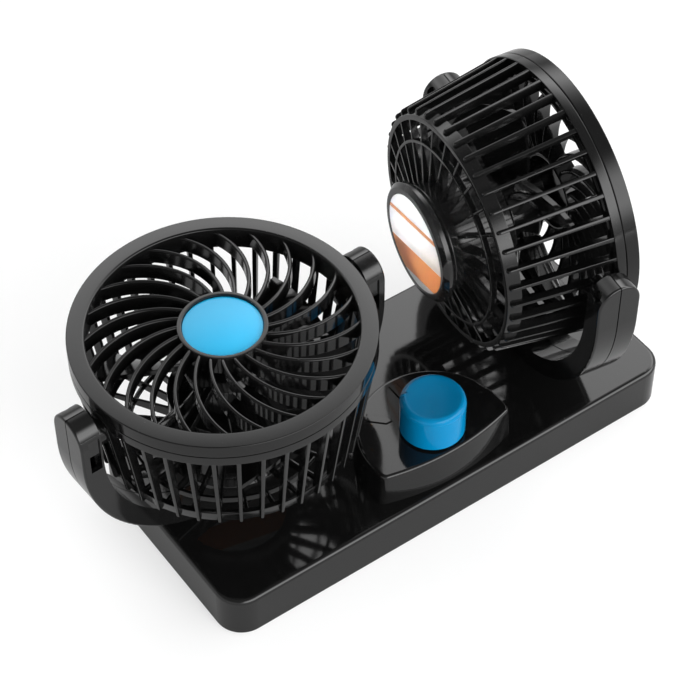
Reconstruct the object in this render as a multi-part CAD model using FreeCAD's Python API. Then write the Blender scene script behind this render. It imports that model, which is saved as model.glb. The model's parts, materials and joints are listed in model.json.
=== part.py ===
import FreeCAD, Part
import math
import os

# Twin-head dashboard fan, in millimetres.
# The origin is the middle of the footprint, on the surface that the pad is stuck to.
# X runs along the base from the left fan to the right one, Y points to the rear, Z is up.

# Base tray
base_length = 210.0
base_width = 95.0
base_height = 19.9
base_corner_radius = 11.0
base_edge_radius = 2.0
shell_wall = 2.4
cover_thickness = 2.6
cover_clearance = 0.2
pad_length = 150.0
pad_width = 62.0
pad_corner_radius = 6.0
pad_thickness = 1.6
pad_recess = 0.8

# Screws that hold the base cover
base_screw_inset = 13.0
base_screw_length = 11.0
base_boss_radius = 4.0
screw_shank_radius = 1.4
screw_head_radius = 2.6
screw_head_height = 1.4
screw_clearance = 0.05

# Cable inlet in the rear wall
inlet_height = 10.4
grommet_bore_radius = 2.5
grommet_waist_radius = 4.0
grommet_flange_radius = 5.4
grommet_flange_thickness = 1.3

# Control pod on the base
pod_radius = 30.2
pod_rise = 15.2
pod_setback = 17.0
pod_corner_setback = 8.5
pod_front_setback = 4.2
pod_draft = 1.2
pod_corner_radius = 3.0
pod_edge_radius = 1.4
pod_screw_offset = 20.0
pod_screw_length = 10.0
wire_hole_radius = 7.0
tick_length = 9.6
tick_width = 3.2
tick_height = 0.5
tick_point = 1.8
tick_groove = 0.45
tick_groove_depth = 0.5
tick_distance = 20.6
tick_angles_deg = (45.0, 90.0, 135.0)

# Rotary switch and its knob
knob_setback = 18.4
knob_radius = 12.75
knob_height = 16.0
knob_gap = 1.2
knob_edge_radius = 2.2
knob_dish = 0.6
knob_skin = 3.2
knob_pointer_width = 1.6
knob_pointer_depth = 0.9
knob_pointer_length = 4.0
switch_width = 19.0
switch_depth = 11.0
switch_bush_radius = 4.4
switch_bush_rise = 3.4
nut_flat_radius = 6.0
nut_thickness = 2.2
spindle_radius = 3.0
spindle_flat = 0.9
spindle_engagement = 7.0

# Placing of the two fans
swivel_end_setback = 35.3
swivel_offset = 5.5
left_swivel_deg = 2.3
left_tilt_deg = 90.0
right_swivel_deg = 81.9
right_tilt_deg = 1.4

# Swivel joint under each yoke
yoke_gap = 0.4
swivel_radius = 4.5
swivel_bore_radius = 2.6
swivel_flange_thickness = 2.6
swivel_flange_clearance = 0.4
retainer_radius = 9.0
retainer_thickness = 2.0
retainer_gap = 0.2
swivel_tail = 1.5

# Yoke, moulded as a front and a rear half
arm_width = 18.0
arm_thickness = 8.4
arm_wall = 2.0
arm_rise = 12.9
arm_edge_radius = 0.9
yoke_floor = 6.9
yoke_sag = 2.2
yoke_arc_drop = 6.8
yoke_sweep_gap = 1.7
parting_gap = 0.45
yoke_screw_above_pivot = 8.7
yoke_screw_length = 9.0
yoke_screw_sink = 5.2
yoke_screw_shank_radius = 1.0
yoke_screw_head_radius = 1.9
yoke_boss_radius = 2.7
notch_rim = 0.8
notch_width = 4.6
notch_above_pivot = 6.3
notch_below_pivot = 9.4
notch_lug_height = 8.0
notch_lug_sink = 0.7
notch_depth = 2.8

# Tilt joint between a head and its yoke
pivot_radius = 4.0
pivot_flange_thickness = 1.8
pivot_flange_clearance = 1.3
pivot_engagement = 6.0
tilt_boss_radius = 5.8
tilt_washer_thickness = 0.8
tilt_washer_gap = 0.12

# Head: front ring and swirl grille
head_radius = 56.0
head_side_gap = 3.0
head_face_offset = 16.4
ring_width = 5.8
ring_depth = 5.85
ring_edge_radius = 0.6
ring_seam = 0.2
lip_length = 3.05
lip_thickness = 2.2
lip_clearance = 0.15
vane_count = 24
vane_thickness = 1.5
vane_depth = 7.2
vane_recess = 0.3
vane_phase_deg = -5.5
vane_sweep_mid_deg = 14.6
vane_sweep_end_deg = 33.5
vane_root = 1.0
vane_mid_radius = 33.0
badge_radius = 14.9
badge_rim = 1.7
badge_thickness = 1.2
badge_clearance = 0.1
grille_hub_rise = 1.0
grille_hub_depth = 8.0
grille_hub_wall = 1.8
grille_hub_floor = 1.2

# Head: slatted rear shell
rim_wall = 2.6
rim_end = 10.0
slat_count = 40
slat_thickness = 1.8
slat_recess = 0.3
slat_front_depth = 4.0
slat_rear_depth = 3.4
slat_taper = 6.2
slat_overlap = 0.9
slat_nose_length = 1.5
slat_nose_drop = 1.6
cage_depth = 52.0
band_height = 5.6
band_wall = 2.2
band_taper = 1.4
band_edge = 0.6
rib_count = 28
rib_phase_deg = -1.3
rib_thickness = 1.2
rib_depth = 2.6
rib_root_depth = 5.2
rib_dish = 4.6
middle_ring_radius = 37.2
middle_ring_width = 1.4

# Head: motor, its cup and the hub cap
hub_stand_off = 13.4
motor_radius = 19.6
motor_length = 24.5
motor_clearance = 0.15
motor_end_gap = 0.2
motor_nose_radius = 4.0
motor_nose_length = 3.0
motor_screw_distance = 10.0
motor_screw_length = 6.0
cup_wall = 2.3
cup_plate = 2.0
hub_cap_depth = 5.7
hub_overhang = 2.25
hub_edge_radius = 2.0
hub_lip = 3.9
label_recess = 0.3
label_thickness = 0.3
label_clearance = 0.2

# Rotor
shaft_radius = 1.5
shaft_tail = 10.0
rotor_gap = 2.5
rotor_hub_radius = 15.5
rotor_hub_length = 14.5
rotor_hub_wall = 2.0
rotor_hub_edge = 3.0
rotor_boss_radius = 4.0
rotor_clearance = 2.4
blade_count = 6
blade_phase_deg = 20.0
blade_thickness = 2.0
blade_root_chord = 15.0
blade_tip_chord = 30.0
blade_root_pitch_deg = 44.0
blade_tip_pitch_deg = 30.0
blade_tip_lag_deg = 4.0
blade_tip_rake = 5.5

# Fits shared by turning and pressed pieces
running_fit = 0.05
press_fit = 0.02

# Heights and places that follow from the sizes above
shell_bottom = pad_thickness - pad_recess
swivel_half_spacing = base_length / 2 - swivel_end_setback
tray_roof = base_height - shell_wall
tray_floor = shell_bottom + cover_thickness
pod_top = base_height + pod_rise
pod_roof = pod_top - shell_wall
base_front = -base_width / 2
base_rear = base_width / 2
pod_y = base_front + pod_setback
knob_y = base_front + knob_setback
knob_bottom = pod_top + knob_gap
knob_top = knob_bottom + knob_height

slat_outer_front = head_radius - slat_recess
slat_outer_rear = slat_outer_front - slat_taper
slat_rear = cage_depth - slat_nose_length
band_front_radius = slat_outer_rear - slat_nose_drop + band_taper / 2
band_rear_radius = band_front_radius - band_taper
head_depth = cage_depth + hub_stand_off
cup_radius = motor_radius + motor_clearance + cup_wall
hub_radius = cup_radius + hub_overhang
hub_front = head_depth - hub_cap_depth
motor_front = hub_front - motor_end_gap - motor_length
plate_front = motor_front - cup_plate
rotor_rear = plate_front - rotor_gap
rotor_front = rotor_rear - rotor_hub_length

# The head turns inside a sphere about its pivot, and the yoke stays outside it.
head_sweep = max(
    math.hypot(head_radius, head_face_offset),
    math.hypot(slat_outer_rear, slat_rear - head_face_offset),
    math.hypot(hub_radius, head_depth - head_face_offset),
)
yoke_bottom = base_height + yoke_gap
yoke_saddle = yoke_bottom + yoke_floor
pivot_height = yoke_saddle + yoke_sweep_gap + head_sweep
arc_height = pivot_height - yoke_arc_drop
arm_top = pivot_height + arm_rise
arm_inner = head_radius + head_side_gap
arm_outer = arm_inner + arm_thickness
yoke_outer_radius = arc_height - yoke_bottom + yoke_sag
yoke_inner_radius = arc_height - yoke_saddle
arm_cavity = arm_width / 2 - arm_wall
tilt_boss_end = arm_inner - tilt_washer_thickness - 2 * tilt_washer_gap

X = FreeCAD.Vector(1, 0, 0)
Y = FreeCAD.Vector(0, 1, 0)
Z = FreeCAD.Vector(0, 0, 1)


# Small helpers

def vec(x, y, z):
    return FreeCAD.Vector(x, y, z)


def disc(radius, low, high):
    return Part.makeCylinder(radius, high - low, vec(0, 0, low))


def tube(outer, inner, low, high):
    return disc(outer, low, high).cut(disc(inner, low, high))


def at(shape, x, y, z=0.0):
    moved = shape.copy()
    moved.translate(vec(x, y, z))
    return moved


def turned(shape, angle_deg):
    copy = shape.copy()
    copy.rotate(vec(0, 0, 0), Z, angle_deg)
    return copy


def ring_of(shape, count, first_deg=0.0):
    return [turned(shape, first_deg + 360.0 * i / count) for i in range(count)]


def revolved(points):
    """Solid turned about Z from a closed outline of (radius, height) points."""
    corners = [vec(r, 0, z) for r, z in points]
    outline = Part.makePolygon(corners + corners[:1])
    return Part.Face(outline).revolve(vec(0, 0, 0), Z, 360)


def plate(points, thickness):
    """Upright radial plate, centred on the XZ plane, from (radius, height) points."""
    corners = [vec(r, -thickness / 2, z) for r, z in points]
    outline = Part.makePolygon(corners + corners[:1])
    return Part.Face(outline).extrude(Y * thickness)


def rounded_block(length, width, radius, low, high):
    block = Part.makeBox(length, width, high - low, vec(-length / 2, -width / 2, low))
    upright = [e for e in block.Edges if abs(e.tangentAt(e.FirstParameter).z) > 0.5]
    return block.makeFillet(radius, upright)


def edges_at(shape, height):
    level = [e for e in shape.Edges if abs(e.BoundBox.ZMin - height) < 1e-4]
    return [e for e in level if abs(e.BoundBox.ZMax - height) < 1e-4]


def screw(length, shank_radius=screw_shank_radius, head_radius=screw_head_radius):
    """Pan-head screw with its head below Z = 0 and its shank pointing up."""
    head = disc(head_radius, -screw_head_height, 0)
    return head.fuse(disc(shank_radius, 0, length))


def screw_hole(length, shank_radius=screw_shank_radius):
    return disc(shank_radius + screw_clearance, 0, length)


# Base tray, control pod, cover and pad

def base_screw_places():
    x = base_length / 2 - base_screw_inset
    y = base_width / 2 - base_screw_inset
    return [(sx * x, sy * y) for sx in (-1, 1) for sy in (-1, 1)]


def pod_outline(height, inset):
    grow = pod_draft * (pod_top - height) / pod_rise - inset
    radius = pod_radius + grow
    corner_y = base_front + pod_corner_setback
    front_y = base_front + pod_front_setback - grow
    left = vec(-radius, pod_y, height)
    right = vec(radius, pod_y, height)
    left_corner = vec(-radius, corner_y, height)
    right_corner = vec(radius, corner_y, height)
    rear_arc = Part.Arc(left, vec(0, pod_y + radius, height), right)
    front_arc = Part.Arc(right_corner, vec(0, front_y, height), left_corner)
    return Part.Wire([
        rear_arc.toShape(),
        Part.makeLine(right, right_corner),
        front_arc.toShape(),
        Part.makeLine(left_corner, left),
    ])


def pod_block(inset, low, high):
    return Part.makeLoft([pod_outline(low, inset), pod_outline(high, inset)], True, True)


def tick_outline():
    """Bar along X whose inner end points at the knob."""
    inner = tick_distance - tick_length / 2
    outer = inner + tick_length
    half = tick_width / 2
    corners = [
        vec(inner, 0, 0),
        vec(inner + tick_point, -half, 0),
        vec(outer, -half, 0),
        vec(outer, half, 0),
        vec(inner + tick_point, half, 0),
    ]
    return Part.Face(Part.makePolygon(corners + corners[:1]))


def at_ticks(outline, low, high):
    """The outline as a block between two heights, at each setting of the knob."""
    block = at(outline.extrude(Z * (high - low)), 0, 0, low)
    return [at(turned(block, angle), 0, knob_y) for angle in tick_angles_deg]


def pod_ticks():
    return at_ticks(tick_outline(), pod_top - shell_wall / 2, pod_top + tick_height)


def tick_grooves():
    """Fine groove round each bar."""
    return at_ticks(tick_outline().makeOffset2D(tick_groove, 2), pod_top - tick_groove_depth, pod_top)


def make_base_top_shell():
    body = rounded_block(base_length, base_width, base_corner_radius, shell_bottom, base_height)
    body = body.makeFillet(base_edge_radius, edges_at(body, base_height))
    hollow = rounded_block(base_length - 2 * shell_wall, base_width - 2 * shell_wall,
                           base_corner_radius - shell_wall, shell_bottom, tray_roof)
    body = body.cut(hollow).cut(at(disc(wire_hole_radius, tray_roof, base_height), 0, knob_y))
    for x, y in pod_screw_places():
        body = body.cut(at(screw_hole(shell_wall), x, y, tray_roof))
    for x, y in base_screw_places():
        boss = at(disc(base_boss_radius, tray_floor, tray_roof + shell_wall / 2), x, y)
        body = body.fuse(boss).cut(at(screw_hole(base_screw_length), x, y, tray_floor))
    for side in (-1, 1):
        bore = disc(swivel_radius + running_fit, tray_roof, base_height)
        body = body.cut(at(bore, side * swivel_half_spacing, swivel_offset))
    inlet = Part.makeCylinder(grommet_waist_radius + press_fit, shell_wall,
                              vec(0, base_rear - shell_wall, inlet_height), Y)
    return body.cut(inlet).removeSplitter()


def on_front_corner(edge):
    """True for the two upright edges at the front of the pod."""
    low, high = edge.BoundBox.ZMin, edge.BoundBox.ZMax
    return high - low > pod_rise / 2 and edge.CenterOfMass.y < (pod_y + base_front + pod_corner_setback) / 2


def pod_screw_places():
    return [(-pod_screw_offset, knob_y), (pod_screw_offset, knob_y)]


def make_control_pod():
    pod = pod_block(0, base_height, pod_top)
    pod = pod.makeFillet(pod_corner_radius, [e for e in pod.Edges if on_front_corner(e)])
    pod = pod.makeFillet(pod_edge_radius, edges_at(pod, pod_top))
    pod = pod.cut(pod_block(shell_wall, base_height, pod_roof))
    pod = pod.cut(tick_grooves()).multiFuse(pod_ticks())
    for x, y in pod_screw_places():
        boss = at(disc(base_boss_radius, base_height, pod_roof + shell_wall / 2), x, y)
        pod = pod.fuse(boss).cut(at(screw_hole(pod_screw_length), x, y, base_height))
    bush_hole = at(disc(switch_bush_radius + press_fit, pod_roof, pod_top), 0, knob_y)
    return pod.cut(bush_hole).removeSplitter()


def make_pod_screws():
    body = screw(pod_screw_length)
    return Part.makeCompound([at(body, x, y, tray_roof) for x, y in pod_screw_places()])


def make_base_cover():
    inset = shell_wall + cover_clearance
    cover = rounded_block(base_length - 2 * inset, base_width - 2 * inset,
                          base_corner_radius - inset, shell_bottom, tray_floor)
    for x, y in base_screw_places():
        cover = cover.cut(at(screw_hole(cover_thickness), x, y, shell_bottom))
        seat = disc(screw_head_radius + screw_clearance, 0, screw_head_height)
        cover = cover.cut(at(seat, x, y, shell_bottom))
    return cover.cut(pad_block(shell_bottom))


def make_base_screws():
    seat = shell_bottom + screw_head_height
    reach = tray_floor - seat + base_screw_length - screw_head_height
    places = base_screw_places()
    return Part.makeCompound([at(screw(reach), x, y, seat) for x, y in places])


def pad_block(low):
    return rounded_block(pad_length, pad_width, pad_corner_radius, low, pad_thickness)


def make_cable_grommet():
    inner = base_rear - shell_wall - grommet_flange_thickness
    outer = base_rear + grommet_flange_thickness
    flange_rear = tube(grommet_flange_radius, grommet_bore_radius, base_rear, outer)
    flange_inside = tube(grommet_flange_radius, grommet_bore_radius, inner, base_rear - shell_wall)
    waist = tube(grommet_waist_radius, grommet_bore_radius, inner, outer)
    grommet = waist.multiFuse([flange_rear, flange_inside]).removeSplitter()
    grommet.rotate(vec(0, 0, 0), X, -90)
    return at(grommet, 0, 0, inlet_height)


# Rotary switch and knob

def spindle_section(radius, low, high):
    """Round rod with one flat, as on a switch spindle."""
    rod = disc(radius, low, high)
    flat = Part.makeBox(2 * radius, radius, high - low, vec(-radius, spindle_radius - spindle_flat, low))
    return rod.cut(flat)


def make_switch_body():
    corner = vec(-switch_width / 2, -switch_width / 2, pod_roof - switch_depth)
    block = Part.makeBox(switch_width, switch_width, switch_depth, corner)
    body = block.fuse(disc(switch_bush_radius, pod_roof, pod_top + switch_bush_rise))
    bore = disc(spindle_radius + running_fit, pod_roof - spindle_engagement, pod_top + switch_bush_rise)
    return at(body.cut(bore), 0, knob_y)


def make_switch_nut():
    corner = vec(nut_flat_radius / math.cos(math.pi / 6), 0, pod_top)
    corners = [FreeCAD.Rotation(Z, 60 * i).multVec(corner) for i in range(6)]
    hexagon = Part.Face(Part.makePolygon(corners + corners[:1])).extrude(Z * nut_thickness)
    hole = disc(switch_bush_radius + press_fit, pod_top, pod_top + nut_thickness)
    return at(hexagon.cut(hole), 0, knob_y)


def make_switch_spindle():
    foot = pod_roof - spindle_engagement + knob_gap
    neck = pod_top + switch_bush_rise
    rod = disc(spindle_radius, foot, neck)
    return at(rod.fuse(spindle_section(spindle_radius, neck, knob_top - knob_skin)), 0, knob_y)


def make_speed_knob():
    crown = knob_radius - knob_edge_radius
    ball = (crown ** 2 + knob_dish ** 2) / (2 * knob_dish)
    half_angle = math.asin(crown / ball) / 2
    rim_foot = knob_top - knob_edge_radius
    rim_reach = knob_edge_radius * math.sqrt(0.5)
    side_start = vec(knob_radius, 0, knob_bottom)
    side_end = vec(knob_radius, 0, rim_foot)
    rim_mid = vec(crown + rim_reach, 0, rim_foot + rim_reach)
    rim_end = vec(crown, 0, knob_top)
    dish_end = vec(0, 0, knob_top - knob_dish)
    dish_mid = dish_end + vec(ball * math.sin(half_angle), 0, ball * (1 - math.cos(half_angle)))
    outline = Part.Wire([
        Part.makeLine(vec(0, 0, knob_bottom), side_start),
        Part.makeLine(side_start, side_end),
        Part.Arc(side_end, rim_mid, rim_end).toShape(),
        Part.Arc(rim_end, dish_mid, dish_end).toShape(),
        Part.makeLine(dish_end, vec(0, 0, knob_bottom)),
    ])
    knob = Part.Face(outline).revolve(vec(0, 0, 0), Z, 360)
    hollow_top = pod_top + switch_bush_rise + knob_gap
    knob = knob.cut(disc(knob_radius - knob_skin, knob_bottom, hollow_top))
    knob = knob.cut(spindle_section(spindle_radius + press_fit, hollow_top, knob_top - knob_skin))
    groove = Part.makeBox(knob_pointer_depth * 2, knob_pointer_width, knob_pointer_length,
                          vec(knob_radius - knob_pointer_depth, -knob_pointer_width / 2,
                              knob_top - knob_pointer_length))
    return at(knob.cut(turned(groove, max(tick_angles_deg))), 0, knob_y)


# Yoke, drawn with the arms along X and the swivel axis on Z

def yoke_profile(inset):
    outer_x = arm_outer - inset
    inner_x = arm_inner + inset
    outer_radius = yoke_outer_radius - inset
    inner_radius = yoke_inner_radius + inset
    outer_centre = arm_outer - yoke_outer_radius
    inner_centre = arm_inner - yoke_inner_radius
    bottom = yoke_bottom + inset
    top = arm_top - inset
    foot_angle = math.asin((arc_height - bottom) / outer_radius)

    def outer_point(angle, side):
        x = outer_centre + outer_radius * math.cos(angle)
        return vec(side * x, 0, arc_height - outer_radius * math.sin(angle))

    def inner_point(angle, side):
        x = inner_centre + inner_radius * math.cos(angle)
        return vec(side * x, 0, arc_height - inner_radius * math.sin(angle))

    def arm(side):
        return [
            Part.Arc(outer_point(foot_angle, side), outer_point(foot_angle / 2, side),
                     outer_point(0, side)).toShape(),
            Part.makeLine(outer_point(0, side), vec(side * outer_x, 0, top)),
            Part.makeLine(vec(side * outer_x, 0, top), vec(side * inner_x, 0, top)),
            Part.makeLine(vec(side * inner_x, 0, top), inner_point(0, side)),
            Part.Arc(inner_point(0, side), inner_point(math.pi / 4, side),
                     inner_point(math.pi / 2, side)).toShape(),
        ]

    saddle = Part.makeLine(inner_point(math.pi / 2, 1), inner_point(math.pi / 2, -1))
    foot = Part.makeLine(outer_point(foot_angle, -1), outer_point(foot_angle, 1))
    edges = Part.sortEdges(arm(1) + [saddle] + arm(-1) + [foot])[0]
    return Part.Face(Part.Wire(edges))


def arm_outline(inset):
    half = arm_width / 2 - inset
    low = yoke_bottom
    shoulder = arm_top - arm_width / 2
    outline = Part.Wire([
        Part.makeLine(vec(-arm_outer, -half, low), vec(-arm_outer, half, low)),
        Part.makeLine(vec(-arm_outer, half, low), vec(-arm_outer, half, shoulder)),
        Part.Arc(vec(-arm_outer, half, shoulder), vec(-arm_outer, 0, shoulder + half),
                 vec(-arm_outer, -half, shoulder)).toShape(),
        Part.makeLine(vec(-arm_outer, -half, shoulder), vec(-arm_outer, -half, low)),
    ])
    return Part.Face(outline).extrude(X * (2 * arm_outer))


def yoke_block(inset):
    sheet = yoke_profile(inset)
    sheet.translate(Y * (-arm_width))
    return sheet.extrude(Y * (2 * arm_width)).common(arm_outline(inset))


def on_outer_skin(edge):
    """True for the edges that run round the outer skin of the arms."""
    middle = edge.valueAt((edge.FirstParameter + edge.LastParameter) / 2)
    if isinstance(edge.Curve, Part.Line) and abs(edge.Curve.Direction.y) > 0.5:
        return False
    if middle.z >= arc_height:
        return abs(abs(middle.x) - arm_outer) < 1e-3
    reach = math.hypot(abs(middle.x) - arm_outer + yoke_outer_radius, middle.z - arc_height)
    return abs(reach - yoke_outer_radius) < 1e-3


def yoke_screw_places():
    x = arm_inner + arm_thickness / 2
    return [(side * x, pivot_height + yoke_screw_above_pivot) for side in (-1, 1)]


def along_y(shape, x, z):
    """Lay a part drawn on Z along Y, pointing to the front, at the given place."""
    laid = shape.copy()
    laid.rotate(vec(0, 0, 0), X, 90)
    laid.translate(vec(x, 0, z))
    return laid


def front_notches():
    """Latch pockets in the front of the arms, beside the pivot, with a sunk lug at the top."""
    cuts = []
    bottom = pivot_height - notch_below_pivot
    height = notch_above_pivot + notch_below_pivot
    for x in (arm_inner + notch_rim, -arm_inner - notch_rim - notch_width):
        corner = vec(x, -arm_width / 2, bottom)
        cuts.append(Part.makeBox(notch_width, notch_lug_sink, height, corner))
        cuts.append(Part.makeBox(notch_width, notch_depth, height - notch_lug_height, corner))
    return cuts


def make_yoke_halves():
    block = yoke_block(0)
    block = block.makeFillet(arm_edge_radius, [e for e in block.Edges if on_outer_skin(e)])
    cavity = yoke_block(arm_wall)
    boss_limit = yoke_block(arm_wall / 2)
    shaft_hole = disc(swivel_radius + press_fit, yoke_bottom, yoke_bottom + arm_wall)
    pivot_hole = Part.makeCylinder(pivot_radius + running_fit, 2 * (arm_inner + arm_wall),
                                   vec(-arm_inner - arm_wall, 0, pivot_height), X)
    shell = block.cut(cavity).cut(shaft_hole).cut(pivot_hole)
    half = arm_width / 2
    seat = yoke_screw_sink - half
    head_hole = disc(yoke_screw_head_radius + screw_clearance, -half, seat)
    shank_hole = at(screw_hole(yoke_screw_length, yoke_screw_shank_radius), 0, 0, seat)
    halves = {}
    for name, low, high in (("front", -half, -parting_gap / 2), ("rear", parting_gap / 2, half)):
        slab = Part.makeBox(2 * arm_outer, high - low, arm_top, vec(-arm_outer, low, 0))
        piece = shell.common(slab)
        for x, z in yoke_screw_places():
            boss = along_y(disc(yoke_boss_radius, -high, -low), x, z)
            piece = piece.fuse(boss.common(boss_limit))
            piece = piece.cut(along_y(head_hole, x, z)).cut(along_y(shank_hole, x, z))
        halves[name] = piece
    halves["front"] = halves["front"].cut(front_notches())
    return halves


def make_yoke_screws():
    shank_length = yoke_screw_length - screw_head_height
    body = screw(shank_length, yoke_screw_shank_radius, yoke_screw_head_radius)
    body = at(body, 0, 0, yoke_screw_sink - arm_width / 2)
    return Part.makeCompound([along_y(body, x, z) for x, z in yoke_screw_places()])


def make_swivel_spindle():
    seat = yoke_bottom + arm_wall
    tail = tray_roof - retainer_gap - retainer_thickness - swivel_tail
    flange = disc(arm_cavity - swivel_flange_clearance, seat, seat + swivel_flange_thickness)
    stem = disc(swivel_radius, tail, seat)
    return flange.fuse(stem).cut(disc(swivel_bore_radius, tail, seat + swivel_flange_thickness))


def make_swivel_retainer():
    high = tray_roof - retainer_gap
    return tube(retainer_radius, swivel_radius + press_fit, high - retainer_thickness, high)


# Head, drawn facing up with its tilt pivot on the X axis through the origin

def w(depth):
    """Height of a plane that lies the given depth behind the front face."""
    return head_face_offset - depth


def vane():
    """One swirl fin: a circular arc from the middle disc to the front ring."""
    inner = badge_radius + badge_rim
    outer = head_radius - ring_width
    start = vec(inner, 0, 0)
    mid_angle = math.radians(vane_sweep_mid_deg)
    end_angle = math.radians(vane_sweep_end_deg)
    middle = vec(vane_mid_radius * math.cos(mid_angle), vane_mid_radius * math.sin(mid_angle), 0)
    end = vec(outer * math.cos(end_angle), outer * math.sin(end_angle), 0)
    spine = Part.Arc(start, middle, end).toShape().Curve
    first = spine.parameter(start) - vane_root / spine.Radius
    last = spine.parameter(end) + vane_root / spine.Radius
    sides = []
    for offset in (-vane_thickness / 2, vane_thickness / 2):
        side = Part.Circle(spine.Center, spine.Axis, spine.Radius + offset)
        side.XAxis = spine.XAxis
        sides.append(Part.ArcOfCircle(side, first, last).toShape())
    near = Part.makeLine(sides[0].valueAt(first), sides[1].valueAt(first))
    far = Part.makeLine(sides[0].valueAt(last), sides[1].valueAt(last))
    outline = Part.Wire(Part.sortEdges(sides + [near, far])[0])
    fin = Part.Face(outline).extrude(Z * (vane_depth - vane_recess))
    return at(fin, 0, 0, w(vane_depth))


def make_front_grille():
    inner = head_radius - ring_width
    ring = tube(head_radius, inner, w(ring_depth), w(0))
    front_edges = [e for e in edges_at(ring, w(0)) if isinstance(e.Curve, Part.Circle)]
    ring = ring.makeFillet(ring_edge_radius, front_edges)
    lip_outer = head_radius - rim_wall - lip_clearance
    lip = tube(lip_outer, lip_outer - lip_thickness, w(ring_depth + lip_length), w(ring_depth / 2))
    hub_outer = badge_radius + badge_rim
    hub = disc(hub_outer, w(grille_hub_depth), w(0))
    hub = hub.cut(disc(badge_radius + badge_clearance, w(badge_thickness), w(0)))
    hub_floor = badge_thickness + grille_hub_floor
    hub = hub.cut(disc(hub_outer - grille_hub_wall, w(grille_hub_depth), w(hub_floor)))
    hub = at(hub, 0, 0, grille_hub_rise)
    vanes = ring_of(vane(), vane_count, vane_phase_deg)
    return ring.multiFuse([lip, hub] + vanes).removeSplitter()


def make_front_badge():
    badge = disc(badge_radius, w(badge_thickness), w(badge_clearance))
    badge = badge.makeFillet(badge_thickness / 3, edges_at(badge, w(badge_clearance)))
    return at(badge, 0, 0, grille_hub_rise)


def slat_outer(depth):
    share = (depth - rim_end) / (slat_rear - rim_end)
    return slat_outer_front - slat_taper * share


def slat_inner(depth):
    share = (depth - rim_end) / (cage_depth - rim_end)
    thick = slat_front_depth + (slat_rear_depth - slat_front_depth) * share
    return slat_outer_front - slat_taper * share - thick


def slat():
    front = rim_end - slat_overlap
    rear = cage_depth - slat_nose_drop / 2
    nose_start = vec(slat_outer(slat_rear), 0, w(slat_rear))
    nose_end = vec(band_front_radius - band_taper / 2, 0, w(rear))
    nose_mid = vec(nose_start.x - slat_nose_drop / 4, 0, w(slat_rear + slat_nose_length / 2))
    front_outer = vec(slat_outer_front, 0, w(front))
    front_inner = vec(slat_inner(rim_end), 0, w(front))
    rear_inner = vec(slat_inner(cage_depth), 0, w(rear))
    outline = Part.Wire([
        Part.makeLine(front_inner, front_outer),
        Part.makeLine(front_outer, nose_start),
        Part.Arc(nose_start, nose_mid, nose_end).toShape(),
        Part.makeLine(nose_end, rear_inner),
        Part.makeLine(rear_inner, front_inner),
    ])
    blade = Part.Face(outline).extrude(Y * slat_thickness)
    return at(blade, 0, -slat_thickness / 2)


def rear_band():
    front = cage_depth - band_height
    return revolved([
        (band_front_radius, w(front)),
        (band_rear_radius, w(cage_depth - band_edge)),
        (band_rear_radius - band_edge, w(cage_depth)),
        (band_rear_radius - band_wall, w(cage_depth)),
        (band_front_radius - band_wall, w(front)),
    ])


def rib():
    outer = band_rear_radius - band_wall / 2
    inner = cup_radius - cup_wall / 2
    fall = rib_dish * (outer - middle_ring_radius) / (outer - inner)
    return plate([
        (outer, w(cage_depth - band_edge)),
        (middle_ring_radius, w(cage_depth + fall)),
        (inner, w(cage_depth + rib_dish)),
        (inner, w(cage_depth + rib_dish - rib_root_depth)),
        (outer, w(cage_depth - rib_depth)),
    ], rib_thickness)


def middle_ring():
    outer = band_rear_radius - band_wall / 2
    fall = rib_dish * (outer - middle_ring_radius) / (outer - cup_radius)
    rear = cage_depth + fall
    half = middle_ring_width / 2
    return tube(middle_ring_radius + half, middle_ring_radius - half, w(rear), w(rear - rib_depth))


def motor_cup():
    cup = disc(cup_radius, w(hub_front), w(plate_front))
    cup = cup.cut(disc(motor_radius + motor_clearance, w(hub_front), w(motor_front)))
    return cup.cut(disc(motor_nose_radius + motor_clearance, w(motor_front), w(plate_front)))


def motor_screw_places():
    return [(motor_screw_distance, 0), (-motor_screw_distance, 0)]


def make_rear_shell():
    rim = tube(head_radius, head_radius - rim_wall, w(rim_end), w(ring_depth + ring_seam))
    bosses = []
    for side in (-1, 1):
        start = vec(side * slat_inner(head_face_offset), 0, 0)
        length = tilt_boss_end - slat_inner(head_face_offset)
        bosses.append(Part.makeCylinder(tilt_boss_radius, length, start, X * side))
    slats = ring_of(slat(), slat_count, 180.0 / slat_count)
    ribs = ring_of(rib(), rib_count, rib_phase_deg)
    shell = rim.multiFuse(slats + ribs + bosses + [rear_band(), middle_ring(), motor_cup()])
    for side in (-1, 1):
        hole = Part.makeCylinder(pivot_radius + press_fit, pivot_engagement,
                                 vec(side * tilt_boss_end, 0, 0), X * -side)
        shell = shell.cut(hole)
    for x, y in motor_screw_places():
        shell = shell.cut(at(screw_hole(cup_plate), x, y, w(motor_front)))
    return shell.removeSplitter()


def make_motor():
    can = disc(motor_radius, w(motor_front + motor_length), w(motor_front))
    nose = disc(motor_nose_radius, w(motor_front), w(motor_front - motor_nose_length))
    bore_end = motor_front + shaft_tail + motor_end_gap
    bore = disc(shaft_radius + running_fit, w(bore_end), w(motor_front - motor_nose_length))
    motor = can.fuse(nose).cut(bore)
    for x, y in motor_screw_places():
        motor = motor.cut(at(screw_hole(motor_screw_length), x, y, w(motor_front) - motor_screw_length))
    return motor


def make_motor_screws():
    body = screw(motor_screw_length)
    body.rotate(vec(0, 0, 0), X, 180)
    return Part.makeCompound([at(body, x, y, w(plate_front)) for x, y in motor_screw_places()])


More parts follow.
